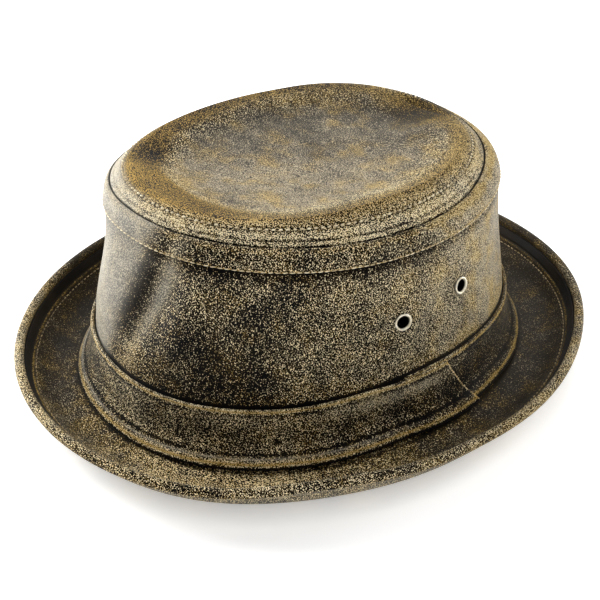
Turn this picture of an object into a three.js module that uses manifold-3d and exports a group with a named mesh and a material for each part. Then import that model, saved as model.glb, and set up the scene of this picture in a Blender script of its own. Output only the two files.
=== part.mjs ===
// Leather porkpie hat, resting on its brim.
// Millimetres, +Z up, the surface under the brim is Z = 0 and the crown stands on the Z axis.
// The front of the hat faces -Y and the wearer's left is +X.
// Angles are in degrees round the crown, from +X towards +Y.
import * as THREE from "three";
import { mergeVertices } from "three/addons/utils/BufferGeometryUtils.js";
import Module from "manifold-3d";

// Crown: the oval is measured on the outside of the wall where it meets the brim.
const CROWN_LENGTH = 218.6;
const CROWN_WIDTH = 181.2;
const OVAL_POWER = 2.13;
const WALL_HEIGHT = 89.6; // from the brim up to the wall's topstitching
const WALL_LEAN = 11.0; // how far the wall draws in over that height
const WALL_LEATHER = 1.8;
const FOLD_HEIGHT = 9.5; // from the topstitching up to the tip seam
const FOLD_INSET = 5.2;
const FOLD_TUCK = 2.2; // further inset of the seam beside the back
const TUCK_ANGLE = 58;
const TUCK_WIDTH = 34;
const SEAM_ALLOWANCE = 1.7; // the second ply that is turned in behind each seam
const STITCH_PINCH = 0.9;
const CROWN_SADDLE = 3.3; // the seam dips this much at both sides and rises as much front and back
const CROWN_PITCH = 1.4;
const CROWN_TWIST = 1.2;
const CROWN_DIP = 2.6; // a local sag of the top edge at the back
const DIP_ANGLE = 94;
const DIP_WIDTH = 30;
const DENT_DEPTH = 3.6;
const BAND_HOLD = 0.32; // share of the wall's height up to which the band keeps it free of dents
const DENTS_FULL = 0.5;
const DENTS_FADE = 0.86; // share from which they fade into the topstitching

// Tip: the panel that closes the crown, domed at its edge and dished in the middle.
const TIP_LEATHER = 1.8;
const TIP_RISE = 8.2; // from the seam up to the crest
const TIP_SHOULDER = 11.5; // from the seam in to the crest
const DISH_DEPTH = 9.0;
const TIP_DENT = 3.4;
const DISH_START = 0.4; // share of the shoulder from which the dish's dents reach it
const PLY_START = 0.5; // share of the shoulder up to which the turned-in ply thickens it

// Band: one strip of leather round the foot of the crown, its end lapped over its start.
const BAND_LEATHER = 1.6;
const BAND_HEIGHT = 25.0;
const BAND_FLARE = 6.2;
const BAND_SADDLE = 1.0; // the lip clears the brim by this much more at both sides, less front and back
const BAND_LIP_DROP = 0.8; // share of the leather by which the flared lip's inner corner hangs lower
const BAND_END = 8.4; // angle of the lapped end at the band's upper edge
const BAND_SLANT = 8.9; // further round at its lower edge
const BAND_LAP = 15.0;
const BAND_RAMP = 14.0;

// Brim: two plies that lie flat by the crown and curl up to a rolled edge.
const UNDER_LEATHER = 1.5;
const UPPER_LEATHER = 1.4;
const BRIM_FLAT = 13.2; // from the crown wall out to where the curl starts
const CURL_RADIUS = 20.5;
const CURL_ANGLE = 63.0;
const HEM_WIDTH = 6.0; // from the crease in to the rolled edge
const EDGE_ROLL = 4.8; // diameter
const ROLL_TURN = 110; // degrees that the roll turns each way from the brim's own slope

// Eyelets: two vents in the wearer's left side of the wall.
const EYELET_FLANGE = 8.5;
const EYELET_HOLE = 6.0;
const EYELET_METAL = 0.5;
const EYELET_PROUD = 0.8;
const EYELET_RIM = 0.6; // shares of it at the flange's rim and at the hole
const EYELET_MOUTH = 0.5;
const DRILL_LENGTH = 11;

const GAP = 0.3; // between pieces that are sewn or pressed together
const SECTORS = 56;
const EYELET_SECTORS = 18;
const CURL_STEPS = 4;
const ROLL_STEPS = 5;
const NEARBY = 0.02; // step in radians or in share of height for reading a slope
const WELD = 1e-4;

// Heights up the plain wall, as shares of WALL_HEIGHT.
const WALL_ROWS = [0, 0.14, 0.28, 0.42, 0.56, 0.7, 0.84, 1];

// The folded top of the wall: shares of FOLD_HEIGHT and FOLD_INSET, and whether the second ply lifts it.
const FOLD_ROWS = [
  { height: 0.1, inset: 0.02, ply: 0.5 },
  { height: 0.42, inset: 0.1, ply: 0.5 },
  { height: 0.74, inset: 0.36, ply: 0.35 },
  { height: 0.94, inset: 0.68, ply: 0.15 },
  { height: 1.0, inset: 0.88, ply: 0 },
  { height: 0.92, inset: 1.0, ply: 0 },
];

// The second ply turned in behind the fold: shares of FOLD_HEIGHT, and of the way in to the seam.
const TURNED_ROWS = [
  { height: 0.4, inward: 1 },
  { height: 0.2, inward: 0.33 },
  { height: 0, inward: 0 },
];

// Dents and swells of the wall. Angle and width are in degrees, height and tall in shares of
// WALL_HEIGHT, depth in shares of DENT_DEPTH with a swell below zero, lean is how many degrees the dent
// turns over the whole WALL_HEIGHT, and over is the share of it that carries on over the topstitching.
const WALL_DENTS = [
  { angle: -76, width: 5.5, height: 0.76, tall: 0.27, depth: 1.25, lean: 24, over: 0 },
  { angle: -67, width: 5.5, height: 0.7, tall: 0.28, depth: -0.45, lean: 18, over: 0 },
  { angle: -132, width: 34, height: 1.0, tall: 0.36, depth: 1.0, lean: 0, over: 1 },
  { angle: -131, width: 24, height: 0.78, tall: 0.26, depth: 0.6, lean: 0, over: 0 },
  { angle: -97, width: 10, height: 0.72, tall: 0.34, depth: -0.35, lean: 0, over: 0 },
  { angle: -42, width: 13, height: 0.72, tall: 0.26, depth: 0.45, lean: 0, over: 0 },
  { angle: 7, width: 6, height: 0.6, tall: 0.22, depth: 0.42, lean: 45, over: 0 },
  { angle: -22, width: 9, height: 0.44, tall: 0.2, depth: 0.3, lean: 34, over: 0 },
  { angle: 44, width: 12, height: 0.62, tall: 0.3, depth: 0.3, lean: 10, over: 0 },
  { angle: 128, width: 14, height: 0.6, tall: 0.28, depth: 0.35, lean: -12, over: 0 },
  { angle: -150, width: 12, height: 0.55, tall: 0.3, depth: 0.4, lean: 14, over: 0 },
];

// The tip's upper face: in is a share of TIP_SHOULDER, rise a share of TIP_RISE, and saddle says how
// much of the seam's saddle the row still follows.
const SHOULDER_ROWS = [
  { in: 0, rise: -0.1, saddle: 1 },
  { in: 0.06, rise: 0.06, saddle: 1 },
  { in: 0.22, rise: 0.28, saddle: 0.9 },
  { in: 0.46, rise: 0.57, saddle: 0.7 },
  { in: 0.72, rise: 0.85, saddle: 0.35 },
  { in: 1, rise: 1, saddle: 0 },
];

// The dish: radius is a share of the crest's, fall a share of DISH_DEPTH.
const DISH_ROWS = [
  { radius: 0.9, fall: 0.16 },
  { radius: 0.76, fall: 0.5 },
  { radius: 0.58, fall: 0.8 },
  { radius: 0.38, fall: 0.94 },
  { radius: 0.18, fall: 1 },
];

// Dents of the dish: angle in degrees, radius a share of the seam's, size a share of CROWN_WIDTH, depth
// a share of TIP_DENT with a ridge below zero.
const TIP_DENTS = [
  { angle: -122, radius: 0.78, size: 0.085, depth: 0.9 },
  { angle: 96, radius: 0.8, size: 0.09, depth: 1.0 },
  { angle: 76, radius: 0.66, size: 0.07, depth: -0.5 },
  { angle: 150, radius: 0.6, size: 0.12, depth: 0.25 },
  { angle: 24, radius: 0.6, size: 0.1, depth: 0.3 },
  { angle: 94, radius: 0.92, size: 0.15, depth: 0.95 },
];

// The band's outer face from its lower edge up: height is a share of BAND_HEIGHT, flare of BAND_FLARE.
const BAND_ROWS = [
  { height: 0, flare: 1 },
  { height: 0.09, flare: 0.7 },
  { height: 0.2, flare: 0.4 },
  { height: 0.34, flare: 0.16 },
  { height: 0.5, flare: 0.06 },
  { height: 0.76, flare: 0.03 },
  { height: 1, flare: 0 },
];

// How the curl changes round the brim: angle in degrees, curl a share of CURL_ANGLE, flat a share of
// BRIM_FLAT. Between the rows the values turn smoothly.
const BRIM_WAVES = [
  { angle: -180, curl: 0.95, flat: 0.98 },
  { angle: -130, curl: 0.96, flat: 0.9 },
  { angle: -82, curl: 0.88, flat: 1.12 },
  { angle: -56, curl: 0.87, flat: 1.2 },
  { angle: -34, curl: 0.98, flat: 1.12 },
  { angle: -8, curl: 0.9, flat: 1.2 },
  { angle: 16, curl: 0.88, flat: 1.25 },
  { angle: 52, curl: 0.96, flat: 1.1 },
  { angle: 95, curl: 0.93, flat: 1.02 },
  { angle: 140, curl: 0.96, flat: 0.99 },
];

// Eyelet places: angle in degrees, height a share of WALL_HEIGHT.
const EYELETS = [
  { name: "eyelet_front", angle: -6.2, height: 0.645 },
  { name: "eyelet_back", angle: 19.2, height: 0.69 },
];

const BRIM_THICKNESS = UNDER_LEATHER + GAP + UPPER_LEATHER;
const WALL_FOOT = BRIM_THICKNESS + GAP;
const SEAM_INSET = WALL_LEAN + FOLD_INSET;
const CHORD_RISE = (CROWN_LENGTH / 2) * (1 - Math.cos(Math.PI / SECTORS)); // of one facet's arc
const SEAM_HEIGHT = WALL_FOOT + WALL_HEIGHT + FOLD_HEIGHT;

const wasm = await Module();
wasm.setup();

const radians = THREE.MathUtils.degToRad;

// Radius of the crown's oval at the brim, in the direction of an angle in radians.
function ovalRadius(angle) {
  const across = Math.abs(Math.cos(angle)) / (CROWN_WIDTH / 2);
  const along = Math.abs(Math.sin(angle)) / (CROWN_LENGTH / 2);
  return (across ** OVAL_POWER + along ** OVAL_POWER) ** (-1 / OVAL_POWER);
}

// A point of space from an angle, an offset out from the crown's oval, and a height.
function ringPoint(angle, offset, height) {
  const radius = ovalRadius(angle) + offset;
  return new THREE.Vector3(radius * Math.cos(angle), radius * Math.sin(angle), height);
}

// How far in from the crown's oval the tip seam lies at an angle.
function seamInset(angle) {
  return SEAM_INSET + FOLD_TUCK * bell(turn(THREE.MathUtils.radToDeg(angle), TUCK_ANGLE), TUCK_WIDTH);
}

// The smallest turn between two angles, in degrees.
function turn(angle, from) {
  return ((((angle - from) % 360) + 540) % 360) - 180;
}

function bell(distance, width) {
  return Math.exp(-((distance / width) ** 2));
}

// How far the level of the crown's top edge departs from flat at an angle.
function saddle(angle) {
  const sag = CROWN_DIP * bell(turn(THREE.MathUtils.radToDeg(angle), DIP_ANGLE), DIP_WIDTH);
  return -CROWN_SADDLE * Math.cos(2 * angle) - CROWN_TWIST * Math.sin(2 * angle) + pitch(angle) - sag;
}

function pitch(angle) {
  return -CROWN_PITCH * Math.sin(angle);
}

// Depth of the wall's dents, inwards, at an angle and a share of the wall's height.
function wallDent(angle, share) {
  let depth = 0;
  for (const dent of WALL_DENTS) {
    const rise = share - dent.height;
    const middle = dent.angle + dent.lean * rise;
    const around = bell(turn(THREE.MathUtils.radToDeg(angle), middle), dent.width);
    const stopped = (1 - dent.over) * THREE.MathUtils.smoothstep(share, DENTS_FADE, 1);
    depth += dent.depth * DENT_DEPTH * around * bell(rise, dent.tall) * (1 - stopped);
  }
  // The wall keeps its line where the band holds it.
  return depth * THREE.MathUtils.smoothstep(share, BAND_HOLD, DENTS_FULL);
}

// Offset and height of the wall's outer face at a share of its height.
function wallFace(angle, share) {
  const offset = -WALL_LEAN * share - wallDent(angle, share);
  return [offset, WALL_FOOT + WALL_HEIGHT * share + saddle(angle) * share];
}

// A line of [offset, height] points moved to its left by a distance.
function offsetLine(line, distance) {
  return line.map((point, i) => {
    const before = line[Math.max(i - 1, 0)];
    const after = line[Math.min(i + 1, line.length - 1)];
    const run = after[0] - before[0];
    const rise = after[1] - before[1];
    const length = Math.hypot(run, rise);
    return [point[0] - (rise / length) * distance, point[1] + (run / length) * distance];
  });
}

function geometryOf(points, faces) {
  const positions = new Float32Array(points.flatMap((p) => [p.x, p.y, p.z]));
  const geometry = new THREE.BufferGeometry();
  geometry.setAttribute("position", new THREE.BufferAttribute(positions, 3));
  geometry.setIndex(faces);
  return geometry;
}

// Triangles of the skin between two neighbouring sections, each a closed loop of count points.
function skinFaces(count, here, next) {
  const faces = [];
  for (let i = 0; i < count; i++) {
    const j = (i + 1) % count;
    faces.push(here + i, next + i, next + j, here + i, next + j, here + j);
  }
  return faces;
}

// A closed ring: sectionAt gives the same number of [offset, height] points at every angle,
// anticlockwise when the ring is cut through and seen with the axis on the left.
function ring(sectionAt) {
  const points = [];
  const faces = [];
  let count = 0;
  for (let k = 0; k < SECTORS; k++) {
    const angle = (k / SECTORS) * 2 * Math.PI;
    const section = sectionAt(angle);
    count = section.length;
    points.push(...section.map(([offset, height]) => ringPoint(angle, offset, height)));
    faces.push(...skinFaces(count, k * count, ((k + 1) % SECTORS) * count));
  }
  return geometryOf(points, faces);
}

// The wall with its turned-in top, before its eyelet holes are cut.
function wallSection(angle) {
  const plain = WALL_ROWS.map((share) => wallFace(angle, share));
  plain[plain.length - 1][0] -= STITCH_PINCH;
  const top = WALL_FOOT + WALL_HEIGHT + saddle(angle);
  const pull = wallDent(angle, 1);
  const seam = seamInset(angle);
  const fold = FOLD_ROWS.map(({ height, inset, ply }) => [
    -WALL_LEAN - (seam - WALL_LEAN) * inset + SEAM_ALLOWANCE * ply - pull * (1 - inset),
    top + FOLD_HEIGHT * height,
  ]);
  const inner = offsetLine(plain, WALL_LEATHER);
  inner[0][1] = plain[0][1];
  const back = -WALL_LEAN - WALL_LEATHER - SEAM_ALLOWANCE - pull;
  const turned = TURNED_ROWS.map(({ height, inward }) => [
    back - (back + seam) * inward,
    top + FOLD_HEIGHT * height,
  ]);
  return [...plain, ...fold, ...turned, ...inner.reverse()];
}

// Height of the tip's dents at a point of the panel, downwards.
function tipDent(x, y) {
  let depth = 0;
  for (const dent of TIP_DENTS) {
    const angle = radians(dent.angle);
    const radius = dent.radius * (ovalRadius(angle) - SEAM_INSET);
    const away = Math.hypot(x - radius * Math.cos(angle), y - radius * Math.sin(angle));
    depth += dent.depth * TIP_DENT * bell(away, dent.size * CROWN_WIDTH);
  }
  return depth;
}

// The tip as rings of points, upper face from the seam to the middle and lower face back out.
function tipPanel() {
  const lower = [];
  const upper = [];
  for (const row of SHOULDER_ROWS) {
    const ply = SEAM_ALLOWANCE * (1 - THREE.MathUtils.smoothstep(row.in, PLY_START, 1));
    upper.push({ ...row, radius: 1, fall: 0 });
    if (row.in !== SHOULDER_ROWS[1].in) {
      lower.push({ ...row, radius: 1, fall: 0, thick: TIP_LEATHER + ply });
    }
  }
  for (const row of DISH_ROWS) {
    upper.push({ in: 1, rise: 1, saddle: 0, ...row });
    lower.push({ in: 1, rise: 1, saddle: 0, ...row, thick: TIP_LEATHER });
  }
  const rows = [...upper, ...lower.reverse()];
  const points = [];
  for (let k = 0; k < SECTORS; k++) {
    const angle = (k / SECTORS) * 2 * Math.PI;
    const seam = ovalRadius(angle) - seamInset(angle) - GAP;
    for (const row of rows) {
      const radius = (seam - TIP_SHOULDER * row.in) * row.radius;
      const x = radius * Math.cos(angle);
      const y = radius * Math.sin(angle);
      const inside = THREE.MathUtils.smoothstep(row.in, DISH_START, 1);
      const sway = saddle(angle) * row.saddle + pitch(angle) * (1 - row.saddle) * row.radius;
      const level = SEAM_HEIGHT + sway + TIP_RISE * row.rise;
      const height = level - DISH_DEPTH * row.fall - tipDent(x, y) * inside - (row.thick ?? 0);
      points.push(new THREE.Vector3(x, y, height));
    }
  }
  const middle = SEAM_HEIGHT + TIP_RISE - DISH_DEPTH - tipDent(0, 0);
  points.push(new THREE.Vector3(0, 0, middle), new THREE.Vector3(0, 0, middle - TIP_LEATHER));
  const above = points.length - 2;
  const below = points.length - 1;
  const faces = [];
  for (let k = 0; k < SECTORS; k++) {
    const here = k * rows.length;
    const next = ((k + 1) % SECTORS) * rows.length;
    for (let i = 0; i < rows.length; i++) {
      const j = (i + 1) % rows.length;
      if (i === upper.length - 1) {
        faces.push(here + i, next + i, above, here + j, below, next + j);
      } else {
        faces.push(here + i, next + i, next + j, here + i, next + j, here + j);
      }
    }
  }
  return geometryOf(points, faces);
}

// The band: one strip that starts under its own end and is lifted over its start by the lap.
function bandStrip() {
  const step = 360 / SECTORS;
  const steps = Math.round((360 + BAND_LAP) / step);
  const points = [];
  const faces = [];
  let count = 0;
  for (let k = 0; k <= steps; k++) {
    const travelled = ((360 + BAND_LAP) * k) / steps;
    const base = BAND_END - BAND_LAP + travelled;
    const ramp = THREE.MathUtils.smoothstep(travelled, 360 - BAND_RAMP, 360);
    const lap = (BAND_LEATHER + GAP) * ramp;
    const outer = [];
    const turns = [];
    for (const row of BAND_ROWS) {
      const angle = radians(base + BAND_SLANT * (1 - row.height));
      const foot = WALL_FOOT + BAND_LIP_DROP * BAND_LEATHER + BAND_SADDLE * (1 + Math.cos(2 * angle));
      const height = foot + BAND_HEIGHT * row.height;
      const share = (height - WALL_FOOT) / (WALL_HEIGHT + saddle(angle));
      const seat = wallFace(angle, share)[0] + GAP + CHORD_RISE;
      outer.push([seat + BAND_LEATHER + BAND_FLARE * row.flare + lap, height]);
      turns.push(angle);
    }
    const inner = offsetLine(outer, BAND_LEATHER);
    const rounded = [...outer, ...inner.reverse()];
    const angles = [...turns, ...turns.slice().reverse()];
    count = rounded.length;
    rounded.forEach(([offset, height], i) => points.push(ringPoint(angles[i], offset, height)));
    if (k < steps) faces.push(...skinFaces(count, k * count, (k + 1) * count));
  }
  const last = steps * count;
  for (let i = 0; i < count / 2 - 1; i++) {
    const j = count - 1 - i;
    faces.push(i, i + 1, j - 1, i, j - 1, j);
    faces.push(last + i, last + j - 1, last + i + 1, last + i, last + j, last + j - 1);
  }
  return geometryOf(points, faces);
}

// Curl and flat of the brim at an angle, blended between the rows of BRIM_WAVES.
function brimWave(angle) {
  const at = THREE.MathUtils.radToDeg(angle);
  const rows = BRIM_WAVES.length;
  for (let i = 0; i < rows; i++) {
    const here = BRIM_WAVES[i];
    const next = BRIM_WAVES[(i + 1) % rows];
    const span = (next.angle - here.angle + 360) % 360;
    const into = (((at - here.angle) % 360) + 360) % 360;
    if (into <= span) {
      const mix = THREE.MathUtils.smoothstep(into / span, 0, 1);
      return {
        curl: radians(CURL_ANGLE * (here.curl + (next.curl - here.curl) * mix)),
        flat: BRIM_FLAT * (here.flat + (next.flat - here.flat) * mix),
      };
    }
  }
  return { curl: radians(CURL_ANGLE), flat: BRIM_FLAT };
}

// The face between the two plies, from the head opening out to the crease and on to the hem's end.
function brimLine(angle) {
  const { curl, flat } = brimWave(angle);
  const line = [
    [-WALL_LEATHER, UNDER_LEATHER],
    [flat / 2, UNDER_LEATHER],
  ];
  for (let i = 0; i <= CURL_STEPS; i++) {
    const slope = (curl * i) / CURL_STEPS;
    const out = flat + CURL_RADIUS * Math.sin(slope);
    line.push([out, UNDER_LEATHER + CURL_RADIUS * (1 - Math.cos(slope))]);
  }
  const crease = line[line.length - 1];
  line.push([crease[0] + HEM_WIDTH * Math.cos(curl), crease[1] + HEM_WIDTH * Math.sin(curl)]);
  return { line, curl };
}

// The under ply, which wraps round the edge as the roll.
function underSection(angle) {
  const { line, curl } = brimLine(angle);
  const end = line[line.length - 1];
  const outer = offsetLine(line, -UNDER_LEATHER);
  outer.forEach((point) => {
    point[1] = Math.max(point[1], 0);
  });
  const radius = EDGE_ROLL / 2;
  const ahead = [Math.cos(curl), Math.sin(curl)];
  const side = [-Math.sin(curl), Math.cos(curl)];
  const middle = BRIM_THICKNESS / 2 - UNDER_LEATHER;
  const centre = [0, 1].map((i) => end[i] + ahead[i] * (radius + GAP) + side[i] * middle);
  const roll = [];
  for (let i = 0; i <= ROLL_STEPS; i++) {
    const around = radians(ROLL_TURN * ((2 * i) / ROLL_STEPS - 1));
    roll.push(
      [0, 1].map((n) => centre[n] + radius * (ahead[n] * Math.cos(around) + side[n] * Math.sin(around))),
    );
  }
  return [...outer.slice(0, -1), ...roll, ...line.reverse()];
}

// The upper ply, which ends against the roll.
function upperSection(angle) {
  const { line } = brimLine(angle);
  const lower = offsetLine(line, GAP);
  const upper = offsetLine(line, GAP + UPPER_LEATHER);
  return [...lower, ...upper.reverse()];
}

// A turned eyelet about its own axis, +Z outwards, its flanges clear of the faceted leather.
function eyeletBody() {
  const hole = EYELET_HOLE / 2;
  const flange = EYELET_FLANGE / 2;
  const barrel = hole + EYELET_METAL;
  const seat = GAP + CHORD_RISE;
  const inside = -WALL_LEATHER - seat;
  const profile = [
    [hole, inside - EYELET_METAL],
    [flange, inside - EYELET_METAL],
    [flange, inside],
    [barrel, inside],
    [barrel, seat],
    [flange, seat],
    [flange - EYELET_METAL / 2, seat + EYELET_PROUD * EYELET_RIM],
    [(hole + flange) / 2, seat + EYELET_PROUD],
    [hole, seat + EYELET_PROUD * EYELET_MOUTH],
    [hole, inside - EYELET_METAL],
  ];
  const turned = new THREE.LatheGeometry(
    profile.map(([r, z]) => new THREE.Vector2(r, z)),
    EYELET_SECTORS,
  );
  return turned.rotateX(Math.PI / 2);
}

// Place and outward direction of an eyelet on the wall.
function eyeletFrame(eyelet) {
  const angle = radians(eyelet.angle);
  const at = (a, share) => ringPoint(a, ...wallFace(a, share));
  const around = at(angle + NEARBY, eyelet.height).sub(at(angle - NEARBY, eyelet.height));
  const up = at(angle, eyelet.height + NEARBY).sub(at(angle, eyelet.height - NEARBY));
  const out = around.cross(up).normalize();
  const turnTo = new THREE.Quaternion().setFromUnitVectors(new THREE.Vector3(0, 0, 1), out);
  return { position: at(angle, eyelet.height), turnTo };
}

function solidOf(geometry) {
  const bare = new THREE.BufferGeometry();
  bare.setAttribute("position", geometry.getAttribute("position"));
  bare.setIndex(geometry.getIndex());
  const merged = mergeVertices(bare, WELD);
  return new wasm.Manifold(
    new wasm.Mesh({
      numProp: 3,
      vertProperties: merged.attributes.position.array,
      triVerts: new Uint32Array(merged.index.array),
    }),
  );
}

function geometryFrom(solid) {
  const mesh = solid.getMesh();
  const geometry = new THREE.BufferGeometry();
  geometry.setAttribute("position", new THREE.BufferAttribute(mesh.vertProperties, 3));
  geometry.setIndex(new THREE.BufferAttribute(mesh.triVerts, 1));
  return geometry;
}

// The wall with a hole for the barrel of each eyelet.
function crownWall() {
  let wall = solidOf(ring(wallSection));
  const radius = EYELET_HOLE / 2 + EYELET_METAL + GAP;
  for (const eyelet of EYELETS) {
    const { position, turnTo } = eyeletFrame(eyelet);
    const drill = new THREE.CylinderGeometry(radius, radius, DRILL_LENGTH, EYELET_SECTORS);
    drill.rotateX(Math.PI / 2).applyQuaternion(turnTo).translate(...position.toArray());
    wall = wall.subtract(solidOf(drill));
  }
  return geometryFrom(wall);
}

function material(color, roughness, metalness) {
  return new THREE.MeshStandardMaterial({ color, roughness, metalness });
}

const hat = new THREE.Group();

function add(name, geometry, finish) {
  geometry.computeVertexNormals();
  const mesh = new THREE.Mesh(geometry, finish);
  mesh.name = name;
  hat.add(mesh);
  return mesh;
}

add("crown_wall", crownWall(), material(0x4a3f28, 0.5, 0));
add("crown_tip", tipPanel(), material(0x5a4b2c, 0.55, 0));
add("hat_band", bandStrip(), material(0x3a3224, 0.5, 0));
add("brim_upper", ring(upperSection), material(0x3c3220, 0.6, 0));
add("brim_under", ring(underSection), material(0x5c5032, 0.6, 0));

for (const eyelet of EYELETS) {
  const { position, turnTo } = eyeletFrame(eyelet);
  const ringlet = add(eyelet.name, eyeletBody(), material(0xb9b29c, 0.3, 1));
  ringlet.position.copy(position);
  ringlet.quaternion.copy(turnTo);
}

export default hat;
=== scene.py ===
# Leather porkpie hat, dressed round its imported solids.
# The sizes are millimetres, as in the part's own source, and each mesh is made in metres.
import math

import bpy
import numpy as np
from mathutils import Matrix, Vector


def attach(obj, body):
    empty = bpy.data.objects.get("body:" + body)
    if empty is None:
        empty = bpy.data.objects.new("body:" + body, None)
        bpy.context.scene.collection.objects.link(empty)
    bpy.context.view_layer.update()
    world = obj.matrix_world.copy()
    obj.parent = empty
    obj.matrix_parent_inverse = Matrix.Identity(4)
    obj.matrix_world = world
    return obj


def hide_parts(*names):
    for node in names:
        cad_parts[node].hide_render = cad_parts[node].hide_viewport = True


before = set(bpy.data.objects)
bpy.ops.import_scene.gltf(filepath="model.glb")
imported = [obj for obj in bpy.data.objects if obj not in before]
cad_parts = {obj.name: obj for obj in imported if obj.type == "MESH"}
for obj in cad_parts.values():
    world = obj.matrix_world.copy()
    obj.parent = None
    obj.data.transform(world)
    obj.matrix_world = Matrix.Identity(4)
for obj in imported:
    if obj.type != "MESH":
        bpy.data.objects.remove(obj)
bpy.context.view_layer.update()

MM = 0.001

# Crown: the oval is measured on the outside of the wall where it meets the brim. The wall's top and the
# tip rise and fall round it by the saddle, pitch, twist and dip.
CROWN_LENGTH = 218.6
CROWN_WIDTH = 181.2
OVAL_POWER = 2.13
WALL_HEIGHT = 89.6
WALL_LEAN = 11.0
WALL_LEATHER = 1.8
FOLD_HEIGHT = 9.5
FOLD_INSET = 5.2
FOLD_TUCK = 2.2
TUCK_ANGLE = 58
TUCK_WIDTH = 34
SEAM_ALLOWANCE = 1.7
STITCH_PINCH = 0.9
CROWN_SADDLE = 3.3
CROWN_PITCH = 1.4
CROWN_TWIST = 1.2
CROWN_DIP = 2.6
DIP_ANGLE = 94
DIP_WIDTH = 30
DENT_DEPTH = 3.6

# Tip
TIP_LEATHER = 1.8
TIP_RISE = 8.2
TIP_SHOULDER = 11.5
DISH_DEPTH = 9.0
TIP_DENT = 3.4

# Band
BAND_LEATHER = 1.6
BAND_HEIGHT = 25.0
BAND_FLARE = 6.2
BAND_SADDLE = 1.0
BAND_LIP_DROP = 0.8
BAND_END = 8.4
BAND_SLANT = 8.9
BAND_LAP = 15.0
BAND_RAMP = 14.0

# Brim
UNDER_LEATHER = 1.5
UPPER_LEATHER = 1.4
BRIM_FLAT = 13.2
CURL_RADIUS = 20.5
CURL_ANGLE = 63.0
HEM_WIDTH = 6.0
EDGE_ROLL = 4.8

# Eyelets
EYELET_FLANGE = 8.5
EYELET_HOLE = 6.0
EYELET_METAL = 0.5
EYELET_PROUD = 0.8

# Rows of stitches, by how far in from the tip's seam or the brim's crease they lie
SEAM_ROW = 2.0
TIP_STITCH_ROW = 6.0
CREASE_ROW = 2.2

# Mesh points round each ring, and across the flat, the curl and the hem of the brim
COLUMNS = 480
FLAT_POINTS = 16
CURL_POINTS = 44
HEM_POINTS = 12

GAP = 0.3
BRIM_THICKNESS = UNDER_LEATHER + GAP + UPPER_LEATHER
WALL_FOOT = BRIM_THICKNESS + GAP
SEAM_INSET = WALL_LEAN + FOLD_INSET
SEAM_HEIGHT = WALL_FOOT + WALL_HEIGHT + FOLD_HEIGHT

# The folded top of the wall from its edge up: height is a share of FOLD_HEIGHT and inset of the way in
# to the tip's seam, and ply is the lift of the second ply as a share of SEAM_ALLOWANCE.
FOLD_ROWS = [
    {"height": 0.0, "inset": 0.0, "ply": -0.5},
    {"height": 0.07, "inset": 0.0, "ply": 0.42},
    {"height": 0.16, "inset": 0.03, "ply": 0.6},
    {"height": 0.42, "inset": 0.1, "ply": 0.48},
    {"height": 0.7, "inset": 0.3, "ply": 0.42},
    {"height": 0.9, "inset": 0.58, "ply": 0.28},
    {"height": 0.99, "inset": 0.88, "ply": 0.04},
    {"height": 0.96, "inset": 0.985, "ply": 0},
    {"height": 0.8, "inset": 1.0, "ply": 0},
]
WALL_STITCH_PLACE = 1.55  # along FOLD_ROWS

# Dents and swells of the wall. Angle and width are in degrees, height and tall in shares of
# WALL_HEIGHT, depth in shares of DENT_DEPTH with a swell below zero, lean is how many degrees the dent
# turns over the whole WALL_HEIGHT, and over is the share of it that carries on over the topstitching.
WALL_DENTS = [
    {"angle": -76, "width": 5.5, "height": 0.76, "tall": 0.27, "depth": 1.25, "lean": 24, "over": 0},
    {"angle": -67, "width": 5.5, "height": 0.7, "tall": 0.28, "depth": -0.45, "lean": 18, "over": 0},
    {"angle": -132, "width": 34, "height": 1.0, "tall": 0.36, "depth": 1.0, "lean": 0, "over": 1},
    {"angle": -131, "width": 24, "height": 0.78, "tall": 0.26, "depth": 0.6, "lean": 0, "over": 0},
    {"angle": -97, "width": 10, "height": 0.72, "tall": 0.34, "depth": -0.35, "lean": 0, "over": 0},
    {"angle": -42, "width": 13, "height": 0.72, "tall": 0.26, "depth": 0.45, "lean": 0, "over": 0},
    {"angle": 7, "width": 6, "height": 0.6, "tall": 0.22, "depth": 0.42, "lean": 45, "over": 0},
    {"angle": -22, "width": 9, "height": 0.44, "tall": 0.2, "depth": 0.3, "lean": 34, "over": 0},
    {"angle": 44, "width": 12, "height": 0.62, "tall": 0.3, "depth": 0.3, "lean": 10, "over": 0},
    {"angle": 128, "width": 14, "height": 0.6, "tall": 0.28, "depth": 0.35, "lean": -12, "over": 0},
    {"angle": -150, "width": 12, "height": 0.55, "tall": 0.3, "depth": 0.4, "lean": 14, "over": 0},
]

# The tip from its seam to its middle: in is a share of TIP_SHOULDER, rise of TIP_RISE, radius of the
# crest's radius and fall of DISH_DEPTH, and saddle says how much of the seam's saddle a row follows.
TIP_ROWS = [
    {"in": 0, "rise": -0.2, "saddle": 1, "radius": 1, "fall": 0},
    {"in": 0.012, "rise": -0.01, "saddle": 1, "radius": 1, "fall": 0},
    {"in": 0.07, "rise": 0.09, "saddle": 1, "radius": 1, "fall": 0},
    {"in": 0.22, "rise": 0.28, "saddle": 0.9, "radius": 1, "fall": 0},
    {"in": 0.46, "rise": 0.57, "saddle": 0.7, "radius": 1, "fall": 0},
    {"in": 0.72, "rise": 0.85, "saddle": 0.35, "radius": 1, "fall": 0},
    {"in": 1, "rise": 1, "saddle": 0, "radius": 1, "fall": 0},
    {"in": 1, "rise": 1, "saddle": 0, "radius": 0.9, "fall": 0.16},
    {"in": 1, "rise": 1, "saddle": 0, "radius": 0.76, "fall": 0.5},
    {"in": 1, "rise": 1, "saddle": 0, "radius": 0.58, "fall": 0.8},
    {"in": 1, "rise": 1, "saddle": 0, "radius": 0.38, "fall": 0.94},
    {"in": 1, "rise": 1, "saddle": 0, "radius": 0.18, "fall": 1},
]
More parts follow.
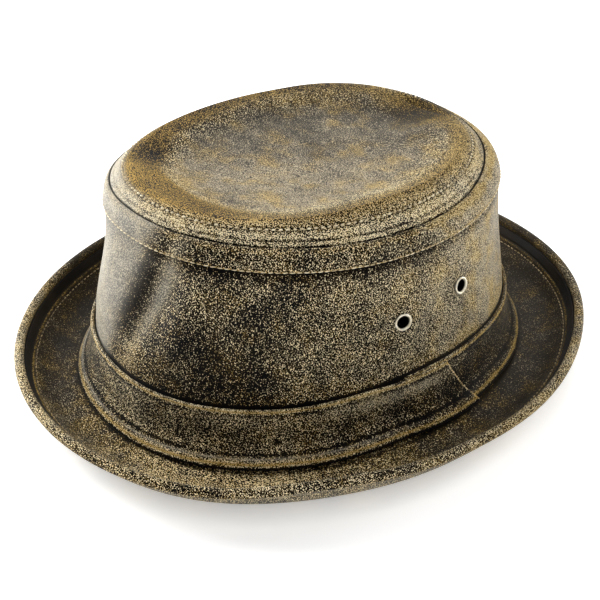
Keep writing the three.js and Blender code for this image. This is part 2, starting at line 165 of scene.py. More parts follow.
CREST_PLACE = 6  # along TIP_ROWS

# Dents of the dish: angle in degrees, radius a share of the seam's, size a share of CROWN_WIDTH, depth
# a share of TIP_DENT with a ridge below zero.
TIP_DENTS = [
    {"angle": -122, "radius": 0.78, "size": 0.085, "depth": 0.9},
    {"angle": 96, "radius": 0.8, "size": 0.09, "depth": 1.0},
    {"angle": 76, "radius": 0.66, "size": 0.07, "depth": -0.5},
    {"angle": 150, "radius": 0.6, "size": 0.12, "depth": 0.25},
    {"angle": 24, "radius": 0.6, "size": 0.1, "depth": 0.3},
    {"angle": 94, "radius": 0.92, "size": 0.15, "depth": 0.95},
]

# The band's outer face from its lower edge up: height is a share of BAND_HEIGHT, flare of BAND_FLARE,
# and roll is how far the turned edges stand proud, in millimetres.
BAND_ROWS = [
    {"height": 0, "flare": 1, "roll": 0},
    {"height": 0.07, "flare": 0.78, "roll": 0.35},
    {"height": 0.14, "flare": 0.56, "roll": 0.3},
    {"height": 0.22, "flare": 0.36, "roll": 0},
    {"height": 0.34, "flare": 0.16, "roll": 0},
    {"height": 0.5, "flare": 0.06, "roll": 0},
    {"height": 0.76, "flare": 0.03, "roll": 0},
    {"height": 0.86, "flare": 0.02, "roll": 0.1},
    {"height": 0.93, "flare": 0.01, "roll": 0.55},
    {"height": 1, "flare": 0, "roll": 0.35},
]

# How the brim changes round the hat: curl is a share of CURL_ANGLE and flat of BRIM_FLAT, with the angle
# in degrees.
BRIM_WAVES = [
    {"angle": -180, "curl": 0.95, "flat": 0.98},
    {"angle": -130, "curl": 0.96, "flat": 0.9},
    {"angle": -82, "curl": 0.88, "flat": 1.12},
    {"angle": -56, "curl": 0.87, "flat": 1.2},
    {"angle": -34, "curl": 0.98, "flat": 1.12},
    {"angle": -8, "curl": 0.9, "flat": 1.2},
    {"angle": 16, "curl": 0.88, "flat": 1.25},
    {"angle": 52, "curl": 0.96, "flat": 1.1},
    {"angle": 95, "curl": 0.93, "flat": 1.02},
    {"angle": 140, "curl": 0.96, "flat": 0.99},
]

# Eyelets: angle in degrees, height a share of WALL_HEIGHT, and skew the slope of the leather that an
# eyelet turns towards the front.
EYELETS = [
    {"name": "eyelet_front", "angle": -6.2, "height": 0.645, "skew": 0.2},
    {"name": "eyelet_back", "angle": 19.2, "height": 0.69, "skew": 0},
]


# Functions of numbers and arrays
def smoothstep(value, low, high):
    """0 up to low, 1 from high on, and smooth between."""
    t = np.clip((value - low) / (high - low), 0, 1)
    return t * t * (3 - 2 * t)


def bell(distance, width):
    """1 at no distance, and almost 0 from twice the width on."""
    return np.exp(-((distance / width) ** 2))


def turn(angle, middle):
    """The smallest turn between two angles, in degrees."""
    return (angle - middle + 540) % 360 - 180


def uneven(x, y, z, size, seed):
    """A soft random swell between about -1 and 1 whose humps are about this size."""
    waves = 7
    draw = np.random.default_rng(seed)
    total = 0
    for _ in range(waves):
        way = draw.normal(size=3)
        way *= draw.uniform(0.6, 1.4) * math.pi / (size * np.linalg.norm(way))
        total = total + np.sin(way[0] * x + way[1] * y + way[2] * z + draw.uniform(0, 2 * math.pi))
    return total / math.sqrt(waves)


def smooth_rows(table, names, at):
    """Columns of a table at places along its rows, turning smoothly and never past a row's value."""
    last = len(table) - 1
    row = np.clip(np.floor(at).astype(int), 0, last - 1)
    t = at - row
    found = []
    for name in names:
        values = np.array([entry[name] for entry in table], float)
        steps = np.diff(values)
        before, after = steps[:-1], steps[1:]
        both = before + after
        slopes = np.zeros(last + 1)
        level = (before * after <= 0) | (both == 0)
        slopes[1:-1] = np.where(level, 0, 2 * before * after / np.where(both == 0, 1, both))
        slopes[0], slopes[-1] = steps[0], steps[-1]
        a, b, c, d = values[row], values[row + 1], slopes[row], slopes[row + 1]
        cubic = 2 * (a - b) + c + d
        square = 3 * (b - a) - 2 * c - d
        found.append(((cubic * t + square) * t + c) * t + a)
    return found


def oval_radius(angle):
    across = np.abs(np.cos(angle)) / (CROWN_WIDTH / 2)
    along = np.abs(np.sin(angle)) / (CROWN_LENGTH / 2)
    return (across**OVAL_POWER + along**OVAL_POWER) ** (-1 / OVAL_POWER)


def ring_points(angles, line):
    """Points in space from angles and [offset, height] pairs, offset from the crown's oval."""
    radius = oval_radius(angles) + line[..., 0]
    return np.stack([radius * np.cos(angles), radius * np.sin(angles), line[..., 1]], -1)


def run_and_left(line):
    """Directions along a line of [offset, height] points, on its second to last axis, and to its left."""
    run = np.gradient(line, axis=-2)
    run /= np.linalg.norm(run, axis=-1, keepdims=True)
    return run, np.stack([-run[..., 1], run[..., 0]], -1)


def offset_line(line, distance):
    """A line of [offset, height] points moved to its left."""
    return line + run_and_left(line)[1] * distance


def ply(line, thickness, corner=5):
    """A closed section of leather to the left of a line, with this many points round each end."""
    run, left = run_and_left(line)
    half = thickness / 2
    middle = line + left * half
    end = []
    start = []
    for t in np.linspace(0, math.pi, corner + 2)[1:-1]:
        rounded = left * half * math.cos(t) - run * half * math.sin(t)
        end.append((middle - rounded)[..., -1:, :])
        start.append((middle + rounded)[..., :1, :])
    inner = (line + left * thickness)[..., ::-1, :]
    return np.concatenate([line, *end, inner, *start], axis=-2)


def closed_row(line, beside):
    """A closed line with the outward directions along it, from a line that runs beside it."""
    up = np.cross(np.roll(line, -1, 0) - line, beside - line)
    return line, up / np.linalg.norm(up, axis=1, keepdims=True)


# Forms of the crown, the tip, the band and the brim
def seam_inset(angle):
    """How far in from the crown's oval the tip seam lies at an angle."""
    return SEAM_INSET + FOLD_TUCK * bell(turn(np.degrees(angle), TUCK_ANGLE), TUCK_WIDTH)


def pitch(angle):
    """How much higher the front stands than the back."""
    return -CROWN_PITCH * np.sin(angle)


def saddle(angle):
    """How far the top of the wall rises above its mean height at an angle."""
    sag = CROWN_DIP * bell(turn(np.degrees(angle), DIP_ANGLE), DIP_WIDTH)
    return -CROWN_SADDLE * np.cos(2 * angle) - CROWN_TWIST * np.sin(2 * angle) + pitch(angle) - sag


def wall_dent(angle, share):
    """How deep the wall is dented at an angle and a share of its height."""
    depth = 0
    for dent in WALL_DENTS:
        rise = share - dent["height"]
        middle = dent["angle"] + dent["lean"] * rise
        around = bell(turn(np.degrees(angle), middle), dent["width"])
        stopped = (1 - dent["over"]) * smoothstep(share, 0.86, 1)
        depth = depth + dent["depth"] * DENT_DEPTH * around * bell(rise, dent["tall"]) * (1 - stopped)
    return depth * smoothstep(share, 0.32, 0.5)


def eyelet_pull(angle, share):
    """How far the leather stands out where each eyelet, set a little askew, turns it."""
    total = 0
    for entry in EYELETS:
        aside = np.radians(turn(np.degrees(angle), entry["angle"])) * CROWN_WIDTH / 2
        above = (share - entry["height"]) * WALL_HEIGHT
        total = total + entry["skew"] * aside * bell(np.hypot(aside, above), EYELET_FLANGE)
    return total


def wall_face(angle, share):
    """[offset, height] of the wall's outer face at a share of its height."""
    offset = -WALL_LEAN * share - wall_dent(angle, share) + eyelet_pull(angle, share)
    return np.stack([offset, WALL_FOOT + WALL_HEIGHT * share + saddle(angle) * share], -1)


def fold_face(angle, at):
    """[offset, height] of the wall's folded top, at a place along FOLD_ROWS."""
    height, inset, lift = smooth_rows(FOLD_ROWS, ("height", "inset", "ply"), at)
    top = WALL_FOOT + WALL_HEIGHT + saddle(angle)
    tuck = (seam_inset(angle) - WALL_LEAN) * inset
    offset = -WALL_LEAN - tuck + SEAM_ALLOWANCE * lift - wall_dent(angle, 1.0) * (1 - inset)
    return np.stack([offset, top + FOLD_HEIGHT * height], -1)


def tip_dent(x, y):
    """How deep the dish of the tip is dented at a place."""
    depth = 0
    for dent in TIP_DENTS:
        angle = math.radians(dent["angle"])
        radius = dent["radius"] * (oval_radius(angle) - SEAM_INSET)
        away = np.hypot(x - radius * math.cos(angle), y - radius * math.sin(angle))
        depth = depth + dent["depth"] * TIP_DENT * bell(away, dent["size"] * CROWN_WIDTH)
    return depth


def tip_point(angle, at):
    """A point of the tip's upper face, at a place along TIP_ROWS."""
    inward, rise, sway, radius, fall = smooth_rows(TIP_ROWS, ("in", "rise", "saddle", "radius", "fall"), at)
    reach = (oval_radius(angle) - seam_inset(angle) - GAP - TIP_SHOULDER * inward) * radius
    x = reach * np.cos(angle)
    y = reach * np.sin(angle)
    inside = smoothstep(inward, 0.4, 1)
    level = SEAM_HEIGHT + saddle(angle) * sway + pitch(angle) * (1 - sway) * radius + TIP_RISE * rise
    height = level - DISH_DEPTH * fall - tip_dent(x, y) * inside
    return np.stack([x, y, height], -1)


def band_foot(angle):
    """Height of the band's lower edge at an angle."""
    return WALL_FOOT + BAND_LIP_DROP * BAND_LEATHER + BAND_SADDLE * (1 + np.cos(2 * angle))


def band_line(angle, at, lap):
    """[offset, height] of the band's outer face, at a place along BAND_ROWS."""
    height, flare, roll = smooth_rows(BAND_ROWS, ("height", "flare", "roll"), at)
    level = band_foot(angle) + BAND_HEIGHT * height
    share = (level - WALL_FOOT) / (WALL_HEIGHT + saddle(angle))
    seat = wall_face(angle, share)[..., 0] + GAP
    return np.stack([seat + BAND_LEATHER + BAND_FLARE * flare + roll + lap, level], -1)


def brim_wave(angle):
    """The curl's angle in radians and the flat's width, blended between the rows of BRIM_WAVES."""
    at = np.degrees(angle)
    curl = np.full_like(at, CURL_ANGLE)
    flat = np.full_like(at, BRIM_FLAT)
    for i, here in enumerate(BRIM_WAVES):
        after = BRIM_WAVES[(i + 1) % len(BRIM_WAVES)]
        span = (after["angle"] - here["angle"]) % 360
        into = (at - here["angle"]) % 360
        mix = smoothstep(into / span, 0, 1)
        held = into <= span
        curl = np.where(held, CURL_ANGLE * (here["curl"] + (after["curl"] - here["curl"]) * mix), curl)
        flat = np.where(held, BRIM_FLAT * (here["flat"] + (after["flat"] - here["flat"]) * mix), flat)
    return np.radians(curl), flat


def brim_line(angles):
    """The face between the brim's plies, from the head opening to the hem's end, and the curl's angle."""
    curl, flat = brim_wave(angles)
    parts = []
    start = -WALL_LEATHER
    for i in range(FLAT_POINTS):
        share = i / FLAT_POINTS
        parts.append(np.stack([start + (flat - start) * share, np.full_like(flat, UNDER_LEATHER)], -1))
    for i in range(CURL_POINTS + 1):
        slope = curl * i / CURL_POINTS
        out = flat + CURL_RADIUS * np.sin(slope)
        parts.append(np.stack([out, UNDER_LEATHER + CURL_RADIUS * (1 - np.cos(slope))], -1))
    crease = parts[-1]
    for i in range(1, HEM_POINTS + 1):
        reach = HEM_WIDTH * i / HEM_POINTS
        parts.append(crease + reach * np.stack([np.cos(curl), np.sin(curl)], -1))
    return np.stack(parts, 1), curl


# Meshes
def add_object(name, data):
    made = bpy.data.objects.new(name, data)
    bpy.context.scene.collection.objects.link(made)
    return made


def make(name, points, faces, finish, replaced=(), paint=None):
    """One named piece that rides on the hat, from points in millimetres."""
    mesh = bpy.data.meshes.new(name)
    mesh.from_pydata((points * MM).tolist(), [], faces)
    mesh.shade_smooth()
    mesh.materials.append(finish)
    piece = add_object(name, mesh)
    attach(piece, "root")
    if replaced:
        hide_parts(*replaced)
    if paint:
        put_paint(piece, paint)
    return piece


def put_paint(piece, paint):
    """Stores a field for each name that paint gives, such as wear or painted shade, for the material to
    read.
    """
    mesh = piece.data
    flat = np.zeros(len(mesh.vertices) * 3)
    mesh.vertices.foreach_get("co", flat)
    x, y, z = (flat.reshape(-1, 3) / MM).T
    for name, values in paint(x, y, z).items():
        layer = mesh.attributes.new(name, "FLOAT", "POINT")
        layer.data.foreach_set("value", np.broadcast_to(values, x.shape).astype(np.float32))


def grid_faces(rows, columns, closed=True):
    """Faces of a ring of columns, each a closed section of rows, with one gap if not closed."""
    i = np.arange(columns if closed else columns - 1)
    here, across = np.meshgrid(i * rows, np.arange(rows), indexing="ij")
    after = ((here // rows + 1) % columns) * rows
    up = (across + 1) % rows
    return np.stack([here + across, after + across, after + up, here + up], -1).reshape(-1, 4).tolist()


def stitches(name, row, finish, spacing, length, thick, sink, slant=0.0):
    """Thread stitches along a closed row of points and outward directions, each a short bowed capsule.
    sink is how deep its ends lie under the line and slant how far it turns from it, in radians."""
    line, outward = row
    loop = np.concatenate([line, line[:1]])
    travelled = np.concatenate([[0], np.cumsum(np.linalg.norm(np.diff(loop, axis=0), axis=1))])
    count = int(round(travelled[-1] / spacing))
    places = np.arange(count) * travelled[-1] / count
    up_loop = np.concatenate([outward, outward[:1]])
    centre = np.stack([np.interp(places, travelled, loop[:, k]) for k in range(3)], -1)
    ahead_at = [np.interp((places + 1) % travelled[-1], travelled, loop[:, k]) for k in range(3)]
    up = np.stack([np.interp(places, travelled, up_loop[:, k]) for k in range(3)], -1)
    up /= np.linalg.norm(up, axis=1, keepdims=True)
    ahead = np.stack(ahead_at, -1) - centre
    ahead -= up * (ahead * up).sum(1, keepdims=True)
    ahead /= np.linalg.norm(ahead, axis=1, keepdims=True)
    side = np.cross(up, ahead)
    jitter = np.random.default_rng(len(name)).normal(size=(count, 3))
    lean = slant + 0.05 * jitter[:, :1]
    ahead = ahead * np.cos(lean) + side * np.sin(lean)
    side = np.cross(up, ahead)
    stations, sides = 7, 6
    along = np.linspace(-1, 1, stations)
    girth = np.maximum(np.sqrt(1 - along**4), 0.25) * thick / 2
    rings = []
    half = length / 2 * (1 + 0.04 * jitter[:, 1:2])
    for u, r in zip(along, girth):
        middle = centre + ahead * half * u + up * (thick * 0.5 * (1 - u * u) - sink)
        for s in range(sides):
            a = 2 * math.pi * s / sides
            rings.append(middle + side * r * math.cos(a) + up * r * math.sin(a))
    points = np.stack(rings, 1).reshape(-1, 3)
    per = stations * sides
    pattern = []
    for k in range(stations - 1):
        for s in range(sides):
            n = (s + 1) % sides
            pattern.append([k * sides + s, k * sides + n, (k + 1) * sides + n, (k + 1) * sides + s])
    pattern.append(list(reversed(range(sides))))
    pattern.append(list(range(per - sides, per)))
    faces = [[i * per + v for v in face] for i in range(count) for face in pattern]
    make(name, points, faces, finish)


# Materials
class Painter:
    """Builds one node material, with its pattern laid out in the hat's own space."""

    def __init__(self, name):
        self.material = bpy.data.materials.new(name)
        self.material.use_nodes = True
        self.tree = self.material.node_tree
        self.tree.nodes.clear()
        self.place = self.add("ShaderNodeTexCoord").outputs["Object"]

    def add(self, kind, inputs=None, **settings):
        made = self.tree.nodes.new(kind)
        for key, value in settings.items():
            setattr(made, key, value)
        for key, value in (inputs or {}).items():
            self.put(made.inputs[key], value)
        return made

    def put(self, socket, value):
        if isinstance(value, bpy.types.NodeSocket):
            self.tree.links.new(value, socket)
        else:
            socket.default_value = value

    def noise(self, size, detail=2.0, rough=0.5, twist=0.0):
        """Noise whose humps are about size millimetres, from 0 to 1."""
        inputs = {"Vector": self.place, "Scale": 1 / (size * MM), "Detail": detail,
                  "Roughness": rough, "Distortion": twist}
        return self.add("ShaderNodeTexNoise", inputs).outputs["Fac"]

    def painted(self, name):
        """A field that put_paint stored on the piece, or 0 where it has none."""
        return self.add("ShaderNodeAttribute", attribute_name=name).outputs["Fac"]

    def compute(self, operation, a, b):
        return self.add("ShaderNodeMath", {0: a, 1: b}, operation=operation).outputs[0]

    def plus(self, a, b):
        return self.compute("ADD", a, b)

    def times(self, a, b):
        return self.compute("MULTIPLY", a, b)

    def weighted(self, a, share_a, b, share_b):
        return self.plus(self.times(a, share_a), self.times(b, share_b))

    def scale(self, value, low, high, to_low=0.0, to_high=1.0, smooth=True):
        """A value carried from the range low to high over to another range, and held at its ends."""
        inputs = {"Value": value, "From Min": low, "From Max": high, "To Min": to_low, "To Max": to_high}
        kind = "SMOOTHSTEP" if smooth else "LINEAR"
        return self.add("ShaderNodeMapRange", inputs, interpolation_type=kind).outputs["Result"]

    def put_color(self, socket, value):
        self.put(socket, value if isinstance(value, bpy.types.NodeSocket) else (*value, 1))

    def mix(self, factor, a, b):
        """A blend of two colours: a where factor is 0 and b where it is 1."""
        made = self.add("ShaderNodeMix", data_type="RGBA")
        factor_in, a_in, b_in, color_out = 0, 6, 7, 2
        self.put(made.inputs[factor_in], factor)
        self.put_color(made.inputs[a_in], a)
        self.put_color(made.inputs[b_in], b)
        return made.outputs[color_out]

    def bump(self, height, distance, strength=1.0, normal=None):
        inputs = {"Height": height, "Distance": distance * MM, "Strength": strength}
        if normal:
            inputs["Normal"] = normal
        return self.add("ShaderNodeBump", inputs).outputs["Normal"]

    def finish(self, color, roughness, normal=None, **fixed):
        shader = self.add("ShaderNodeBsdfPrincipled")
        self.put_color(shader.inputs["Base Color"], color)
        self.put(shader.inputs["Roughness"], roughness)
        if normal:
            self.put(shader.inputs["Normal"], normal)
        for name, value in fixed.items():
            self.put(shader.inputs[name.replace("_", " ")], value)
        output = self.add("ShaderNodeOutputMaterial")
        self.tree.links.new(shader.outputs[0], output.inputs["Surface"])
        return self.material


# Colours of the leather, first as speckle and then as the even tones where its grain doesn't show.
# The two GLARE tones are a painted silvery sheen: reflected light painted into the colour.
SOOT = (0.0008, 0.0008, 0.0009)
BROWN = (0.009, 0.0055, 0.0022)
GOLD = (0.43, 0.275, 0.07)
TAN = (0.40, 0.31, 0.17)
CREAM = (0.97, 0.85, 0.56)
EVEN_DARK = (0.022, 0.016, 0.008)
EVEN_TAN = (0.33, 0.27, 0.18)
EVEN_GOLD = (0.40, 0.26, 0.06)
GLARE_DARK = (0.19, 0.18, 0.155)
GLARE_PALE = (0.46, 0.43, 0.36)


def worn_leather(name, worn, contrast=1.0):
    """Distressed leather: a dark finish rubbed through to tan and cream on the high points of its grain.
    worn, from 0 to 1, is how much of the tan shows where nothing is painted, and contrast is how hard the
    speckle's edges are. Painted wear adds to the tan: real wear in places, and a painted highlight in
    others. Painted shade takes from it, and gold tints it. The painted calm blends the speckle to an even
    tone, in many places that of a painted sheen, and glare makes that tone a pale, silvery painted
    reflection."""
    grain = 0.5
    gloss = 0.42
    p = Painter(name)
    wear_and_light, gold, painted_shade, calm, glare = (p.painted(kind) for kind in ("wear_and_light", "gold", "painted_shade", "calm", "glare"))
    clouds = p.noise(22, detail=3, rough=0.55)
    patches = p.noise(7)
    pebble = p.noise(grain, detail=0.3, twist=0.15)
    fine = p.noise(grain * 0.6, detail=0.0)
    speck = p.weighted(pebble, 0.9, fine, 0.1)
    shift = p.weighted(p.plus(clouds, -0.5), 0.16, p.plus(patches, -0.5), 0.09)
    # Real wear and painted highlights lighten the grain here, and painted shade darkens it.
    bias = p.plus(shift, p.times(p.compute("SUBTRACT", wear_and_light, painted_shade), 0.16))
    level = p.plus(speck, bias)
    edge = 0.557 - 0.14 * (worn - 0.5)
    soft = 0.024 / contrast
    shown = p.scale(level, edge - soft, edge + soft)
    bright = p.scale(level, edge + 0.03, edge + 0.03 + 2.5 * soft)
    under = p.mix(p.scale(clouds, 0.35, 0.7), SOOT, BROWN)
    warm = p.scale(p.plus(p.noise(11), p.times(gold, 0.5)), 0.42, 0.72)
    rubbed = p.mix(warm, TAN, GOLD)
    pale = p.mix(p.scale(gold, 0.2, 1.0), CREAM, GOLD)
    speckled = p.mix(shown, under, p.mix(bright, rubbed, pale))
    blotch = p.weighted(speck, 0.86, patches, 0.14)
    dull = p.scale(p.plus(blotch, p.times(bias, 1.2)), 0.36, 0.70)
    rubbed_even = p.mix(dull, EVEN_DARK, p.mix(warm, EVEN_TAN, EVEN_GOLD))
    # Where glare is painted, the even tone becomes a pale silvery reflection: painted light.
    even = p.mix(glare, rubbed_even, p.mix(dull, GLARE_DARK, GLARE_PALE))
    color = p.mix(calm, speckled, even)
    roughness = p.scale(p.plus(shown, p.times(clouds, 0.3)), 0, 1.3, gloss, gloss + 0.2, smooth=False)
    creases = p.bump(p.noise(5, detail=3), 0.35, 0.5)
    normal = p.bump(speck, 0.14, 0.6, creases)
    return p.finish(color, roughness, normal, Specular_IOR_Level=0.04, Sheen_Weight=0.05,
                    Sheen_Roughness=0.5)


def suede(name):
    """Flesh side of the leather, seen only inside the crown."""
    p = Painter(name)
    fuzz = p.noise(0.8, detail=3, rough=0.7)
    clouds = p.noise(16, detail=3, rough=0.6)
    tone = p.scale(p.weighted(fuzz, 0.5, clouds, 0.5), 0.35, 0.65)
    color = p.mix(tone, (0.10, 0.065, 0.032), (0.19, 0.13, 0.07))
    return p.finish(color, 0.92, p.bump(fuzz, 0.2, 0.6), Specular_IOR_Level=0.2)


def thread(name, light, dark):
    """Twisted sewing thread."""
    p = Painter(name)
    soil = p.scale(p.noise(4, detail=3, rough=0.6), 0.38, 0.62)
    twist = p.noise(0.35, detail=1)
    return p.finish(p.mix(soil, dark, light), 0.62, p.bump(twist, 0.08, 0.6))


def eyelet_metal(name):
    """Pale nickel, a little warm in places, with fine scratches, and black where shade is painted."""
    p = Painter(name)
    clouds = p.noise(1.6, rough=0.6)
    scratches = p.noise(0.22)
    bright = p.mix(p.scale(clouds, 0.35, 0.65), (0.84, 0.74, 0.52), (1.0, 0.94, 0.78))
    # Painted shade turns the metal black down its bore and round its flange's outer edge.
    color = p.mix(p.painted("painted_shade"), bright, (0.003, 0.003, 0.003))
    roughness = p.scale(scratches, 0.3, 0.7, 0.32, 0.5, smooth=False)
    return p.finish(color, roughness, p.bump(scratches, 0.02, 0.4), Metallic=0.6)


wall_leather = worn_leather("wall_leather", 0.38)
tip_leather = worn_leather("tip_leather", 0.62)
band_leather = worn_leather("band_leather", 0.30)
under_leather = worn_leather("under_leather", 0.5, 1.4)
brim_leather = worn_leather("brim_leather", 0.34)
flesh_leather = suede("flesh_leather")
pale_thread = thread("pale_thread", (0.95, 0.84, 0.58), (0.52, 0.40, 0.22))
brown_thread = thread("brown_thread", (0.52, 0.40, 0.21), (0.2, 0.14, 0.07))
nickel = eyelet_metal("eyelet_metal")

ROUND = np.arange(COLUMNS) * (2 * math.pi / COLUMNS)


# Crown wall
def eyelet_frame(eyelet):
    """Centre of an eyelet on the wall, and the wall's outward direction there."""
    angle = math.radians(eyelet["angle"])
    nearby = 0.02

    def at(a, share):
        return ring_points(np.array(a), wall_face(np.array(a), np.array(share)))

    around = at(angle + nearby, eyelet["height"]) - at(angle - nearby, eyelet["height"])
    up = at(angle, eyelet["height"] + nearby) - at(angle, eyelet["height"] - nearby)
    out = Vector(np.cross(around, up)).normalized()
    return Vector(at(angle, eyelet["height"])), out


def around_axis(centre, spin, angle, radius, height):
    """A point at an angle, radius and height round an axis through centre."""
    return centre + spin @ Vector((radius * math.cos(angle), radius * math.sin(angle), height))


def wall_paint(x, y, z):
    """Paint of the wall: painted shade at the front, in the first dent's valley and in its grooves, a
    painted silvery sheen on that dent's ridge and left of it, painted highlights on the fold's rim and
    foot, and tan on the right.
    """
    angle = np.arctan2(y, x)
    deg = np.degrees(angle)
    top = WALL_FOOT + WALL_HEIGHT + saddle(angle)
    share = (z - WALL_FOOT) / (top - WALL_FOOT)
    below = top - z
    # Painted highlights: the fold's top edge (rim) and its proud foot (ridge) catch the light.
    rim = bell(below + 8.6, 1.0)
    ridge = bell(below + 1.1, 0.6)
    from_seam = np.hypot(x, y) - oval_radius(angle) + seam_inset(angle)
    under_seam = bell(from_seam, 0.35) * smoothstep(-below, 6, 8)
    over_band = bell(z - band_foot(angle) - BAND_HEIGHT, 1.0)
    # Painted shade in the grooves under the fold's foot and beside the tip's seam, and on the wall just
    # above the band.
    groove_shade = 0.8 * (bell(below - 0.1, 0.5) + under_seam + over_band) + 0.14 * bell(below - 2, 3)
    # Painted shade: darker over the middle of the front, which faces away from the lights.
    dark = bell(turn(deg, -62), 22) * bell(share - 0.45, 0.35)
    dent = WALL_DENTS[0]
    crease = dent["angle"] + dent["lean"] * (share - dent["height"])
    past_crease = -turn(deg, crease)
    left_end = smoothstep(turn(deg, -170), 0, 20)
    not_back = 1 - smoothstep(deg, 80, 150)
    # Painted silvery sheen on the ridge beside the first dent and over the wall left of it, and painted
    # shade in the dent's valley.
    ridge_sheen = bell(turn(deg, crease - 1.2), 2.8) * bell(share - 0.74, 0.38)
    valley_shade = bell(turn(deg, crease - 7.5), 3.1) * bell(share - 0.74, 0.28)
    silver_sheen = smoothstep(past_crease, 9, 16) * left_end
    sheen_veil = smoothstep(past_crease, 4, 13) * left_end
    right = smoothstep(deg, -15, 40) * not_back
    worn = 0.45 * right - 0.45 * dark - 0.85 * valley_shade + 0.5 * ridge_sheen + 0.2 * silver_sheen
    return {
        "wear_and_light": worn + 0.2 * rim + 0.45 * ridge,
        "gold": 0.9 * ridge + 0.45 * rim + 0.35 * bell(share - 0.3, 0.1),
        "painted_shade": 3.0 * groove_shade,
        "calm": 0.6 * smoothstep(deg, -25, 40) * not_back + 0.85 * sheen_veil + 0.75 * ridge_sheen,
        "glare": 0.75 * sheen_veil + 0.9 * ridge_sheen,
    }


def crown_wall():
    """The wall with its folded top, its second ply turned down inside and its flesh side."""
    angles = ROUND[:, None]
    shares = np.concatenate([np.linspace(0, 0.93, 76), np.linspace(0.94, 1, 16)])
    plain = wall_face(angles, shares[None, :])
    below = (1 - shares) * WALL_HEIGHT
    plain[..., 0] -= STITCH_PINCH * bell(below, 2.0)
    skin = ring_points(angles, plain)
    plain[..., 0] += 0.35 * uneven(*np.moveaxis(skin, -1, 0), 21, 5) * smoothstep(shares, 0.3, 0.45)
    fold = fold_face(angles, np.linspace(0.15, len(FOLD_ROWS) - 1, 40)[None, :])
    pull = wall_dent(ROUND, 1.0)
    top = WALL_FOOT + WALL_HEIGHT + saddle(ROUND)
    back = -WALL_LEAN - WALL_LEATHER - SEAM_ALLOWANCE - pull
    turned = np.stack([
        np.stack([-seam_inset(ROUND), top + FOLD_HEIGHT * 0.4], -1),
        np.stack([(back * 2 - seam_inset(ROUND)) / 3, top + FOLD_HEIGHT * 0.2], -1),
        np.stack([back, top], -1),
    ], 1)
    inner = offset_line(plain, WALL_LEATHER)[:, ::4][:, ::-1]
    inner[:, -1, 1] = plain[:, 0, 1]
    section = np.concatenate([plain, fold, turned, inner], 1)
    rows = section.shape[1]
    outer_rows = plain.shape[1] + fold.shape[1]
    points = ring_points(angles, section).reshape(-1, 3)
    piece = make("hat_crown_wall", points, grid_faces(rows, COLUMNS), wall_leather,
                 ("crown_wall",))
    piece.data.materials.append(flesh_leather)
    across = np.tile(np.arange(rows), COLUMNS)
    hidden = (across >= outer_rows + 1) & (across < rows - 1)
    piece.data.polygons.foreach_set("material_index", hidden.astype(np.int32))
    cut_eyelet_holes(piece)


def cut_eyelet_holes(piece):
    """Opens the wall for each eyelet's barrel, and paints the drilled wall."""
    radius = EYELET_HOLE / 2 + EYELET_METAL + 0.1
    sides = 40
    points = []
    faces = []
    for entry in EYELETS:
        centre, out = eyelet_frame(entry)
        spin = out.to_track_quat("Z", "Y")
        first = len(points)
        for height in (-WALL_LEATHER * 3, WALL_LEATHER * 3):
            for k in range(sides):
                points.append(around_axis(centre, spin, 2 * math.pi * k / sides, radius, height))
        faces.append([first + k for k in reversed(range(sides))])
        faces.append([first + sides + k for k in range(sides)])
        for k in range(sides):
            n = (k + 1) % sides
            faces.append([first + k, first + n, first + sides + n, first + sides + k])
    mesh = bpy.data.meshes.new("drills")
    mesh.from_pydata([p * MM for p in points], [], faces)
    drills = add_object("drills", mesh)
    cut = piece.modifiers.new("holes", "BOOLEAN")
    cut.object = drills
    cut.operation = "DIFFERENCE"
    cut.solver = "EXACT"
    graph = bpy.context.evaluated_depsgraph_get()
    drilled = bpy.data.meshes.new_from_object(piece.evaluated_get(graph))
    piece.modifiers.clear()
    piece.data = drilled
    bpy.data.objects.remove(drills)
    put_paint(piece, wall_paint)


crown_wall()


# Crown tip
def tip_depth(x, y):
    """How far in from the seam a point of the tip lies."""
    angle = np.arctan2(y, x)
    return oval_radius(angle) - seam_inset(angle) - GAP - np.hypot(x, y)


